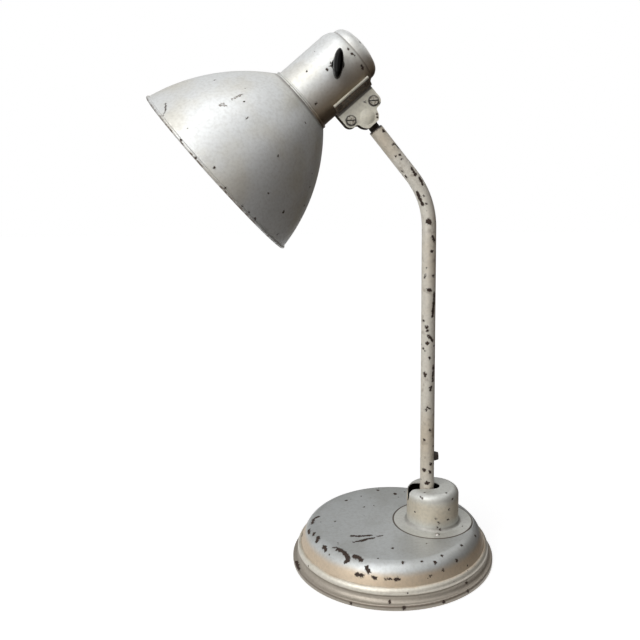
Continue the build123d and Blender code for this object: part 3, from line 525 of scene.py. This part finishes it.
# %% Marks on the head
hook_scratch = lines(
    ((165.3, 103.5), (165.9, 109.3), 0.55),
    ((165.9, 109.3), (161.9, 116), 0.55),
)
shade_scuffs = lines(
    ((219.6, 105.3), (226.5, 105.8), 2.2),
    ((221.5, 104), (224, 103.3), 1.8),
    ((231.7, 99.4), (237, 96.8), 1.8),
    ((236.5, 96.8), (241.7, 94.2), 2.2),
)
bell_dots = dots(
    (215, 80, 1.7), (247, 118, 1.6), (278, 156, 1.8), (214, 168, 1.9),
    (268.5, 193.5, 1.8), (283.5, 212, 2.8), (278, 234, 2.0), (305.5, 122.5, 1.2),
    (310, 187, 1.7),
)
rim_dots = dots(
    (255, 219, 2.1), (249, 212.5, 1.6), (181, 140, 1.9), (195.5, 158, 2.1),
    (225, 188, 2.4), (242, 206, 2.1),
)
shade_marks = hook_scratch + bell_dots + rim_dots
neck_marks = dots(
    (348, 49, 1.9), (352, 54, 2.4), (354.5, 55.5, 1.9), (363, 68, 2.9),
    (361.5, 66, 2.4), (331, 66, 2.2), (330.5, 63, 1.4), (327, 70, 1.7),
    (316, 103.5, 2.4), (290, 86, 1.7), (360, 42.5, 1.9),
)
plate_marks = dots((377, 114, 1.9), (377.5, 117, 1.7), (380, 103, 1.7), (365, 102, 1.4))
print("marks on the stem:", len(stem_marks), "and on the base:", len(base_marks))

# %% [markdown]
# ## Coats of the visible pieces
# The head is laid out along one slanted line, so its dirt and painted shade are measured
# along that line from the rim of the shade, and across it. On the base the deck keeps a
# cool grey, the steep sides get a painted warm reflection in tan, the bead a painted
# highlight, and the foot is darker.

# %% Tones, dirt and painted light
rim_centre = (-0.148088, -0.007576, 0.344328)
head_direction = (0.75676, 0.05926, 0.65101)
head_outward = (-0.65204, -0.00238, 0.75818)
head_forward = (0.04648, -0.99824, 0.03684)
ball_centre = (-0.02268, 0.0, 0.3914)
turret_centre = (0.0366, 0.0, 0.0)


def from_rim(finish, direction):
    """Distance from the centre of the shade's rim, measured in one direction."""
    return finish.dot(finish.vector("SUBTRACT", finish.place, rim_centre), direction)


def height(finish):
    return finish.dot(finish.place, (0, 0, 1))


def from_turret(finish):
    """Distance from the turret's upright axis."""
    away = finish.vector("SUBTRACT", finish.place, turret_centre)
    flat = finish.vector("MULTIPLY", away, (1, 1, 0))
    return finish.vector("LENGTH", flat, output="Value")


def rim_wear_and_painted_shade(finish, colour):
    along = from_rim(finish, head_direction)
    patchy = 0.35 + 0.6 * finish.fade(finish.noise(260), 0.42, 0.6)
    # Darker along the rim's edge: wear, and painted shade on the rolled edge.
    edge = finish.fade(along, 0.0022, 0.0004) * patchy
    # Painted shade in a band on the top of the shade, next to the collar ring.
    seam = finish.fade(along, 0.0888, 0.0910) * 0.5
    scuffed = finish.fade(distance_to_marks(finish, shade_scuffs), 0.0003, -0.0003)
    lined = scuffed * (0.5 + 0.5 * finish.fade(finish.noise(1500), 0.42, 0.56))
    return finish.mix(edge.higher(seam).higher(lined), colour, grime_and_shade)


def neck_seam_and_painted_light(finish, colour):
    across = from_rim(finish, head_outward) + 0.008 * finish.noise(40)
    # Painted warm reflection: tan on the underside of the neck.
    colour = finish.mix(0.8 * finish.fade(across, 0.004, -0.018), colour, plain(170, 148, 116))
    along = from_rim(finish, head_direction)
    seam = finish.fade(along, 0.1486, 0.1502) * finish.fade(along, 0.1512, 0.1504)
    # Painted shade on the underside of the neck, next to the clamp's wing.
    corner = finish.fade(across, -0.0140, -0.0205)
    return finish.mix((seam * 0.45).higher(corner * 0.85), colour, grime_and_shade)


def stem_smudges_and_painted_shade(finish, colour):
    from_ball = finish.vector("DISTANCE", finish.place, ball_centre, output="Value")
    # Painted shade in near black at the tube's end, where it goes in between the clamp plates.
    end = finish.fade(from_ball + 0.002 * finish.noise(500), 0.0172, 0.0152)
    smudge = finish.fade(finish.noise(130, 4.0), 0.56, 0.70) * 0.35
    dirt_and_painted_light = finish.mix(end, plain(120, 98, 76), plain(36, 30, 26))
    return finish.mix(end.higher(smudge), colour, dirt_and_painted_light)


def base_seam_and_dark_line(finish, colour):
    seam = from_turret(finish) - 0.0358
    seam = finish.fade(finish.math("ABSOLUTE", seam), 0.0010, 0.0003)
    # A dark line low on the foot.
    line = finish.fade(height(finish), 0.0052, 0.0044) * finish.fade(height(finish), 0.0028, 0.0038)
    return finish.mix((seam * 0.9).higher(line * 0.6), colour, grime_and_shade)


def hood_dirt_and_painted_shade(finish, colour):
    """Dirt at the hood's foot, darker near the axis low down, and painted shade in black on the
    inside, which starts halfway through its sheet.

    The inside is found by the distance to the middle of the sheet, round the shoulder too.
    """
    edge = finish.fade(from_turret(finish), 0.0347, 0.0353)
    # Darker near the turret's axis, low down at the hood's foot.
    corner = finish.fade(from_turret(finish), 0.0262, 0.0240)
    corner = corner * finish.fade(height(finish), 0.0355, 0.0335)
    colour = finish.mix((edge * 0.8).higher(corner * 0.4), colour, grime_and_shade)
    # Painted shade: near black inside the hood, so that its slot looks dark.
    out = (from_turret(finish) - 0.0173).higher(0)
    up = (height(finish) - 0.0580).higher(0)
    reach = out * out + up * up
    inside = finish.fade(finish.math("SQRT", reach), 0.0056, 0.0052)
    return finish.mix(inside, colour, plain(26, 22, 19))


def base_tones_and_painted_light(finish):
    """Cool grey on the deck, a painted warm reflection in tan on the sweep, a painted highlight in
    pale on the bead, and darker on the foot.
    """
    level = height(finish) + 0.002 * finish.noise(60)
    steep = finish.fade(level, 0.0290, 0.0230)
    bead = finish.fade(level, 0.0180, 0.0165)
    foot = finish.fade(level, 0.0130, 0.0115)
    # Painted highlight: pale on the bead, within a painted warm reflection in tan on the sweep.
    side = finish.mix(bead, plain(204, 186, 162), plain(222, 217, 204))
    side = finish.mix(foot, side, plain(170, 162, 150))
    fresh = finish.mix(steep, plain(200, 203, 203), side)
    return fresh, finish.mix(steep, plain(184, 186, 184), side)


def hood_tones_and_painted_highlight(finish):
    """Cream in the middle of the wall, with a painted highlight in silver on the flange and over
    the shoulder.
    """
    level = height(finish) + 0.004 * finish.noise(70)
    # Painted highlight: silver outside the middle of the wall.
    wall = finish.fade(level, 0.0340, 0.0470) * finish.fade(level, 0.0640, 0.0540)
    fresh = finish.mix(wall, plain(218, 219, 214), plain(224, 215, 196))
    return fresh, finish.mix(wall, plain(208, 208, 202), plain(214, 202, 180))


def plate_painted_shade(finish, colour):
    """A painted shadow in dark brown on the face of the wing, painted shade in its crease, and a
    dark ring around each screw.
    """
    across = from_rim(finish, head_outward)
    # Painted shadow of the neck, in patchy dark brown, on the face of the wing.
    face = finish.fade(across, -0.0300, -0.0288) * finish.fade(across, -0.0232, -0.0238)
    patchy = finish.fade(finish.noise(700, 4.0), 0.4, 0.62)
    brown = finish.mix(patchy, plain(46, 33, 24), plain(104, 82, 60))
    colour = finish.mix(face * 0.92, colour, brown)
    # Painted shade in the crease between the wing and the plate.
    crease_shade = finish.fade(across, -0.0316, -0.0302) * finish.fade(across, -0.0282, -0.0292)
    # A dark ring around each screw.
    rings = finish.fade(distance_to_marks(finish, screw_lines, 0.0002), 0.0014, 0.0004)
    return finish.mix(rings.higher(crease_shade) * 0.9, colour, plain(40, 32, 26))


def on_head(along, forward, outward):
    """Place on the head, in metres along, in front of and above its slanted line."""
    place = Vector(rim_centre) + along * Vector(head_direction) + outward * Vector(head_outward)
    return tuple(place + forward * Vector(head_forward))


screw_alongs = (0.11335, 0.13835)
screw_outward = -0.0397
screw_head_radius = 0.0038
screw_lines = [
    (on_head(along, 0.006, screw_outward), on_head(along, 0.012, screw_outward), screw_head_radius)
    for along in screw_alongs
]
print("first screw at:", [round(part, 4) for part in screw_lines[0][1]])

# %% Coats
silver, yellowed = plain(214, 216, 216), plain(206, 204, 196)
cream, stained = plain(236, 230, 217), plain(222, 209, 188)
shade_coat = lacquer("shade_lacquer", (silver, yellowed), shade_marks, rim_wear_and_painted_shade, 0.03)
neck_coat = lacquer("neck_lacquer", (silver, yellowed), neck_marks, neck_seam_and_painted_light, 0.02)
stem_coat = lacquer(
    "stem_lacquer", (cream, stained), stem_marks, stem_smudges_and_painted_shade, 0.10, 0.1, wider=0.0004
)
plate_tones = plain(246, 242, 226), plain(236, 228, 206)
plate_coat = lacquer("plate_lacquer", plate_tones, plate_marks, plate_painted_shade, 0.05, 0.0)
base_coat = lacquer("base_lacquer", base_tones_and_painted_light, base_marks, base_seam_and_dark_line, 0.08, wider=0.0005)
hood_coat = lacquer("hood_lacquer", hood_tones_and_painted_highlight, hood_marks, hood_dirt_and_painted_shade, 0.05, 0.35)
# Painted shade: the back plate and the rivets of the wing are near black.
painted_shade_tones = plain(70, 58, 44), plain(48, 40, 32)
shaded_back_coat = lacquer("painted_shade_lacquer", painted_shade_tones, (), None, 0.2, 0.1, 0.5)

# %% [markdown]
# ## Plain finishes
# The pieces that hold the lamp together are steel, brass and iron. What is hidden in use
# still gets its own finish, because the parts are seen when the lamp is opened.


# %% Metals, mouldings, felt and glass
def metal(name, colour, roughness, scale=1500.0, tarnish=0.35):
    finish = new_finish(name)
    streaks = finish.noise(scale, 2.0)
    dull = finish.fade(finish.noise(160, 4.0), 0.45, 0.75)
    return finish.surface({
        "Base Color": finish.mix(dull * tarnish, colour, plain(70, 60, 48)),
        "Metallic": 1 - 0.4 * dull,
        "Roughness": roughness + 0.15 * streaks + 0.15 * dull,
        "Normal": finish.bump(streaks, 0.15, 0.0001),
    })


def moulding(name, colour, roughness, gloss=0.5):
    finish = new_finish(name)
    pores = finish.noise(900)
    dust = finish.fade(finish.noise(120), 0.55, 0.85)
    return finish.surface({
        "Base Color": finish.mix(dust * 0.1, colour, plain(120, 110, 98)),
        "Roughness": roughness + 0.06 * pores + 0.15 * dust,
        "Specular IOR Level": gloss,
        "Normal": finish.bump(pores, 0.15, 0.00005),
    })


def felt():
    finish = new_finish("green_felt")
    fibres = finish.noise(1800, 4.0)
    return finish.surface({
        "Base Color": finish.mix(fibres, plain(52, 66, 56), plain(92, 108, 94)),
        "Roughness": 0.95,
        "Sheen Weight": 0.3,
        "Normal": finish.bump(fibres, 0.6, 0.0004),
    })


def frosted_glass():
    finish = new_finish("frosted_glass")
    frost = finish.noise(3000, 2.0)
    return finish.surface({
        "Base Color": finish.mix(frost, plain(238, 238, 232), plain(252, 252, 250)),
        "Roughness": 0.35 + 0.15 * frost,
        "Transmission Weight": 0.6,
    })


def slotted_screw():
    """Aged steel with painted shade in black in the slot, which lies deeper than the head's face.
    """
    finish = new_finish("aged_screw")
    forward = from_rim(finish, head_forward)
    # Painted shade: black in the slot.
    slot = finish.fade(forward, 0.01095, 0.01065)
    spots = finish.fade(finish.noise(600, 4.0), 0.45, 0.65)
    colour = finish.mix(spots, plain(186, 182, 170), plain(112, 102, 88))
    return finish.surface({
        "Base Color": finish.mix(slot, colour, plain(18, 15, 13)),
        "Metallic": 0.4 - 0.4 * slot,
        "Roughness": 0.4 + 0.2 * spots,
        "Normal": finish.bump(spots, 0.2, 0.0001),
    })


# Dark steel for the ball stud, and as painted shade for pieces inside the hood's slot and behind
# the knob.
dark_steel_and_painted_shade = metal("dark_steel_and_painted_shade", plain(38, 33, 29), 0.5)
aged_screw = slotted_screw()
by_slot = {
    "silver_lacquer": shade_coat,
    "cream_lacquer": stem_coat,
    "grey_lacquer": base_coat,
    "hood_lacquer": hood_coat,
    "steel": metal("dull_steel", plain(176, 173, 168), 0.32),
    "iron": metal("cast_iron", plain(86, 84, 82), 0.62, 500.0),
    "felt": felt(),
    "brass": metal("brass", plain(196, 170, 106), 0.28),
    "bulb_metal": metal("lamp_cap_metal", plain(204, 204, 202), 0.25, 1500.0, 0.1),
    "bulb_glass": frosted_glass(),
    "black_moulding": moulding("black_knob", plain(11, 10, 9), 0.16, 0.07),
    "brown_moulding": moulding("brown_moulding", plain(68, 50, 40), 0.4),
    "dark_bush": moulding("dark_bush", plain(44, 36, 32), 0.6),
}
by_piece = {
    "neck_housing": neck_coat,
    "rear_cap": neck_coat,
    "collar_ring": neck_coat,
    "clamp_plate_front": plate_coat,
    "clamp_plate_back": shaded_back_coat,
    "clamp_screws": aged_screw,
    "wing_rivets": shaded_back_coat,
    "ball_stud": dark_steel_and_painted_shade,
    # Painted shade: the switch's bush and nut behind the knob, and the hinge's parts inside the
    # hood's slot, are dark so that they read as shade.
    "switch_bush": dark_steel_and_painted_shade,
    "switch_nut": dark_steel_and_painted_shade,
    "hinge_fork": dark_steel_and_painted_shade,
    "stem_foot": dark_steel_and_painted_shade,
    "friction_washers": dark_steel_and_painted_shade,
}

# %% [markdown]
# ## Dressing the frame
# The measured pieces already have the right shape, so they stay and only get their
# finish.

# %% Give every piece its finish
for part in frame["record"]["subparts"]:
    name = part["node"]
    finish = by_piece.get(name, by_slot[part["material_slot"]])
    slots = nodes[name].material_slots
    if not slots:
        nodes[name].data.materials.append(finish)
    for slot in slots:
        slot.material = finish

# %% [markdown]
# ## Switch knob
# The knob is a moulded wing that two fingers turn. Its measured solid has hard edges,
# while a real moulding leaves its mould with a soft crown. So it is made again from a
# short cylinder, whose top face is drawn out into the long oval of the wing, raised and
# narrowed step by step, and rounded by a bevel. It takes the place of the measured one.


# %% The wing knob
def pick_top(piece):
    """Select only the highest face of the piece that is being edited."""
    mesh = bmesh.from_edit_mesh(piece.data)
    highest = max(mesh.faces, key=lambda face: face.calc_center_median().z)
    for face in mesh.faces:
        face.select_set(face is highest)
    bmesh.update_edit_mesh(piece.data)


def raise_top(piece, up, wide, deep):
    """Draw the top face upwards and change its width and depth by these factors."""
    pick_top(piece)
    bpy.ops.mesh.extrude_region_move(TRANSFORM_OT_translate={"value": (0, 0, up)})
    bpy.ops.transform.resize(value=(wide, deep, 1))


bpy.ops.object.select_all(action="DESELECT")
skirt_height, skirt_radius = 0.0016, 0.0052
bpy.ops.mesh.primitive_cylinder_add(
    vertices=64, radius=skirt_radius, depth=skirt_height, location=(0, 0, skirt_height / 2)
)
knob = bpy.context.active_object
knob.name = "wing_knob"
bpy.ops.object.transform_apply(location=True, rotation=True, scale=True)
bpy.ops.object.mode_set(mode="EDIT")
bpy.ops.mesh.select_mode(type="FACE")
for up, wide, deep in (
    (0.0006, 0.96, 0.80),
    (0.0008, 2.42, 1.02),
    (0.0046, 0.98, 0.92),
    (0.0026, 0.94, 0.80),
    (0.0014, 0.90, 0.72),
    (0.0006, 0.80, 0.50),
):
    raise_top(knob, up, wide, deep)
bpy.ops.mesh.select_all(action="SELECT")
bpy.ops.mesh.normals_make_consistent(inside=False)
bpy.ops.object.mode_set(mode="OBJECT")
rounding = knob.modifiers.new("rounding", "BEVEL")
rounding.width = 0.0007
rounding.segments = 3
rounding.angle_limit = radians(20)
bpy.ops.object.modifier_apply(modifier=rounding.name)
bpy.ops.object.shade_smooth()

knob_turn = radians(43)
knob_along, knob_forward = 0.1316, 0.03045
wing_way = cos(knob_turn) * Vector(head_direction) + sin(knob_turn) * Vector(head_outward)
outwards = Vector(head_forward)
turned = Matrix((wing_way, outwards.cross(wing_way), outwards)).transposed().to_4x4()
knob.matrix_world = Matrix.Translation(on_head(knob_along, knob_forward, 0.0)) @ turned
bpy.ops.object.transform_apply(location=True, rotation=True, scale=True)
knob.data.materials.append(by_slot["black_moulding"])
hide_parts("switch_knob")
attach(knob, "knob")
print("faces of the knob:", len(knob.data.polygons))
